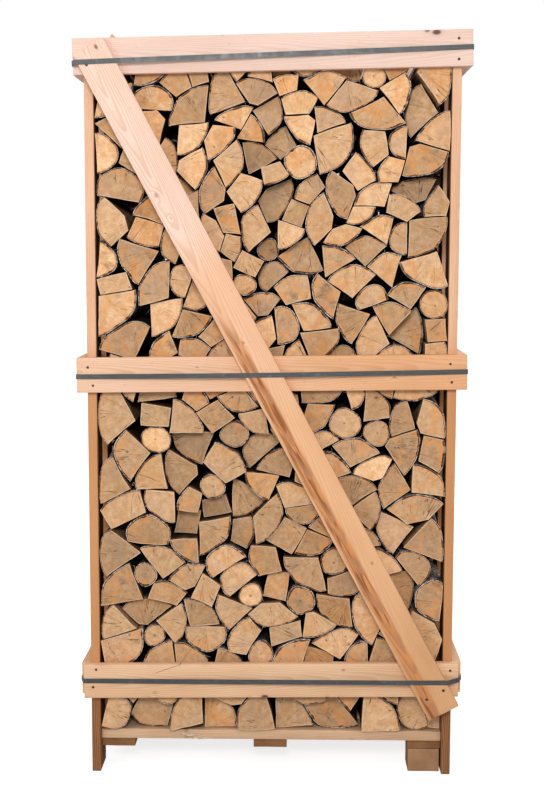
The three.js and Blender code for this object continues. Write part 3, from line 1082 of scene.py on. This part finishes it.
def birch_cleft():
    """A split face, with long torn fibres."""
    s = Shader("birch_cleft", 0.8, 0.15)
    grain = s.attribute("grain")
    fibre = s.noise(grain, (300.0, 9.0, 300.0), 3.0)
    color = s.paint(
        rgb(206, 166, 128),
        ((156, 116, 84), s.noise(grain, (26.0, 7.0, 26.0), 3.0), 0.3, 0.7),
        ((112, 80, 56), fibre, 0.4, 0.75, 0.0, 0.5),
    )
    color = painted_gap_shade(s, birch_tone(s, color))
    return s.finish(color, s.range(fibre, 0.3, 0.7, 0.7, 0.88), fibre, 0.6, 1.5 * MM)


def birch_bark():
    """White papery bark that flakes, with dark patches and short dark bars around the log."""
    s = Shader("birch_bark", 0.7, 0.2)
    x, y, z = s.split(s.attribute("grain"))
    angle = s.math("ARCTAN2", z, x)
    around = s.join(s.times(angle, 0.09), y, s.vector("LENGTH", s.join(x, 0.0, z)))
    flake = s.noise(around, (64.0, 110.0, 44.0), 6.0, 0.78, 0.9)
    light, _, _ = s.split(s.attribute("tone"))
    color = s.ramp(
        flake,
        (0.4, (16, 12, 10)), (0.47, (88, 66, 52)),
        (0.53, (184, 172, 160)), (0.6, (248, 242, 234)),
    )
    color = s.paint(
        color,
        ((48, 38, 32), s.noise(around, (30.0, 420.0, 30.0), 2.0), 0.62, 0.7, 0.0, 0.75),
        ((112, 86, 68), s.noise(around, (14.0, 11.0, 8.0), 3.0), 0.5, 0.68, 0.0, 0.6),
        ((84, 66, 54), light, 0.2, 2.2, 0.0, 0.5),
    )
    color = painted_gap_shade(s, color)
    return s.finish(color, s.range(flake, 0.3, 0.7, 0.85, 0.6), flake, 0.8, 2 * MM)


# ---- the two rows -------------------------------------------------------------------------------

birch = [birch_end(), birch_cleft(), birch_bark()]
ROW_GROUPS = 6  # pieces that a row is made of, from its foot up
OPEN_TOP = 90 * MM  # the logs this near to the top of the stack can be seen from above
WALL_LOG = 60 * MM  # a log whose middle is this near to a side is seen from there
# Logs that stand out: x from the row's left wall, height of the middle, kind and size. A half log's
# bark is on top.
given_logs = [
    (0.604, 1.690, "round", 42 * MM),
    (0.515, 1.482, "round", 27 * MM),
    (0.668, 0.993, "round", 40 * MM),
    (0.351, 0.902, "round", 35 * MM),
    (0.776, 0.953, "round", 34 * MM),
    (0.125, 0.491, "round", 30 * MM),
    (0.512, 0.464, "round", 38 * MM),
    (0.168, 0.394, "round", 27 * MM),
    (0.206, 1.800, "half", 48 * MM),
    (0.060, 1.510, "half", 60 * MM),
    (0.120, 0.640, "half", 58 * MM),
    (0.892, 1.850, "core", 112 * MM),
]


def stand_alone(logs, log, x, z):
    log["at"] = np.array([x, z])
    logs.append(log)


for row, sign, first_draw, head_room in (("front", -1, 11, 44 * MM), ("back", 1, 23, 6 * MM)):
    low, high = (np.array(tuple(v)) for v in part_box(f"log_row_{row}"))
    width, limit = high[0] - low[0], high[2] - head_room
    rng = np.random.default_rng(first_draw)
    given = given_logs if row == "front" else []
    logs, sky = stack_row(rng, width, low[2], limit - 60 * MM, limit, given)
    if row == "front":  # one log stands up over the rest near the left end
        tip = draw_log(rng, "wedge", 86 * MM, math.pi + 0.3)
        start = int(0.014 / COLUMN)
        base = (sky[start:start + len(tip["low"])] - tip["low"]).max()
        base = min(base, high[2] - 8 * MM - tip["high"].max())
        stand_alone(logs, tip, start * COLUMN, base)
        chock = draw_log(rng, "core", 44 * MM, 0.0)  # and a small one fills the lower right corner
        stand_alone(logs, chock, width - MM - chock["points"][:, 0].max(), low[2])
    swell(logs, rng, width, low[2], high[2] - 2 * MM)
    outer, inner = (low[1], high[1]) if sign < 0 else (high[1], low[1])
    groups = [LogMesh() for _ in range(ROW_GROUPS)]
    curls = BarkCurls()
    span = (limit - low[2]) / ROW_GROUPS
    for index, log in enumerate(logs):
        for key in ("points", "centre", "heart"):
            log[key] = log[key] + (low[0], 0)
        middle_x, middle_z = log["centre"]
        from_wall = min(middle_x - low[0], high[0] - middle_x)
        pick = rng.random()
        if pick < 0.72 or from_wall < WALL_LOG:
            recess = rng.uniform(1, 11) if from_wall > WALL_LOG else rng.uniform(1, 5)
        else:
            recess = rng.uniform(11, 32) if pick < 0.88 else rng.uniform(32, 75)
        if middle_z < low[2] + 50 * MM:  # the lowest logs stand back from the edge of the deck
            recess = max(recess, rng.uniform(24, 36))
        under_top = middle_z < limit - OPEN_TOP
        inside = from_wall > WALL_LOG + 2 * MM and under_top
        start = outer - sign * recess * MM
        stop = start - sign * rng.uniform(220, 236) * MM
        stop = min(stop, inner) if sign < 0 else max(stop, inner)
        group = groups[min(ROW_GROUPS - 1, int((middle_z - low[2]) / span))]
        bulge = 7 * MM if under_top else 0.0
        # logs deep inside the row get full painted shade on their sides; those seen from a wall or from
        # above get a quarter
        group.add(log, start, stop, index, 1.0 if inside else 0.25, bulge, rng)
        if inside and rng.random() < 0.6:
            curls.add(log, start, -sign, rng)
    curls.build(f"bark_curls_{row}")
    pieces = [group.build(f"logs_{row}_{i + 1}", birch) for i, group in enumerate(groups)]
    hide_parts(f"log_row_{row}")

# ---- stage, light and camera --------------------------------------------------------------------

bpy.ops.mesh.primitive_plane_add(size=60.0, location=(0, 0, 0))
floor = bpy.context.object
floor.name = "floor"
s = Shader("floor_paper", 0.95, 0.0)
s.finish((0.55, 0.55, 0.55, 1))
s.put(s.surface["Emission Color"], WHITE)
s.put(s.surface["Emission Strength"], s.times(s.seen(), 0.78))
floor.data.materials.append(s.material)

# The studio's walls are white where they are seen, and light the crate more softly than that.
world = bpy.data.worlds.new("studio")
bpy.context.scene.world = world
world.use_nodes = True
walls = world.node_tree.nodes["Background"]
walls.inputs["Color"].default_value = WHITE
rays = world.node_tree.nodes.new("ShaderNodeLightPath")
brightness = world.node_tree.nodes.new("ShaderNodeMapRange")
brightness.inputs["To Min"].default_value = 0.62
brightness.inputs["To Max"].default_value = 1.0
world.node_tree.links.new(rays.outputs["Is Camera Ray"], brightness.inputs["Value"])
world.node_tree.links.new(brightness.outputs[0], walls.inputs["Strength"])


def soft_light(name, place, aim_z, size, power):
    """An area light that aims at the crate's middle, at a height."""
    data = bpy.data.lights.new(name, "AREA")
    data.shape = "RECTANGLE"
    data.size, data.size_y = size
    data.energy = power
    lamp = bpy.data.objects.new(name, data)
    lamp.location = place
    lamp.rotation_euler = (Vector((0, 0, aim_z)) - Vector(place)).to_track_quat("-Z", "Y").to_euler()
    bpy.context.scene.collection.objects.link(lamp)


soft_light("key", (0.0, -4.3, 2.5), 1.1, (0.9, 0.7), 78)
soft_light("side", (-2.4, -3.6, 2.2), 1.0, (1.6, 1.6), 26)
soft_light("behind", (1.2, 4.2, 2.6), 1.0, (1.6, 1.6), 60)

yaw, pitch, roll = (math.radians(angle) for angle in (1.055, 6.413, 0.144))
ahead = Vector((-math.sin(yaw), math.cos(yaw), 0))
forward = ahead * math.cos(pitch) - Vector((0, 0, math.sin(pitch)))
level = Vector((math.cos(yaw), math.sin(yaw), 0))
upward = level.cross(forward)
right = math.cos(roll) * level + math.sin(roll) * upward
top = -math.sin(roll) * level + math.cos(roll) * upward
lens = bpy.data.cameras.new("camera")
lens.sensor_width, lens.lens = 36.0, 60.57
lens.clip_end = 60
camera = bpy.data.objects.new("camera", lens)
turn = Matrix((right, top, -forward)).transposed().to_4x4()
camera.matrix_world = Matrix.Translation((0.068, -3.875, 1.457)) @ turn
bpy.context.scene.collection.objects.link(camera)
bpy.context.scene.camera = camera
bpy.context.scene.view_settings.view_transform = "Standard"
